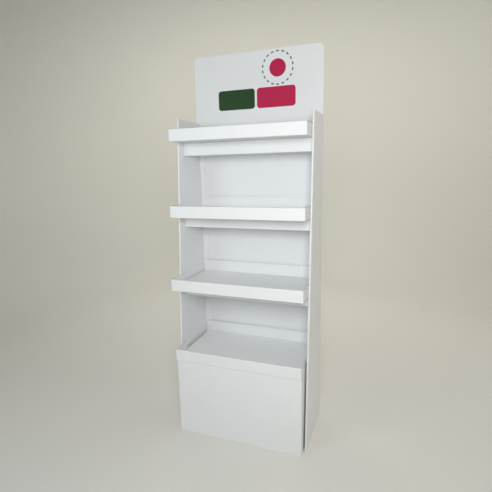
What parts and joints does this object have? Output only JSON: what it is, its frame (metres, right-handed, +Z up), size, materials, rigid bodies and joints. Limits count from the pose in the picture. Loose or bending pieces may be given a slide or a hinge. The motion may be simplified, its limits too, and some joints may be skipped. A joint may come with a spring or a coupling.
{
  "type": "cardboard display stand",
  "caption": "Free-standing floor display of folded white corrugated board: lipped shelf trays between two tapered side walls, a plinth box and a flat header card.",
  "frame": {"origin": "on the floor, at the centre of the stand's outer box", "axes": "+Z up, +Y to the back panel, +X to the right-hand wall as seen from the front"},
  "size_m": [0.6, 0.338, 1.693],
  "materials": {
    "wall_board": "white coated liner, satin",
    "header_board": "white coated liner, satin",
    "base_board": "white coated liner, satin",
    "tray_board": "white coated liner, satin",
    "insert_board": "white coated liner, satin",
    "support_board": "white coated liner, satin"
  },
  "bodies": {
    "root": {"body_wrap": "wall_board", "header_card": "header_board", "top_tray": "tray_board", "upper_tray": "tray_board", "lower_tray": "tray_board", "base_tray": "tray_board", "top_insert": "insert_board", "upper_insert": "insert_board", "lower_insert": "insert_board", "base_insert": "insert_board", "top_support": "support_board", "upper_support": "support_board", "lower_support": "support_board", "base_box": "base_board"}
  },
  "joints": []
}
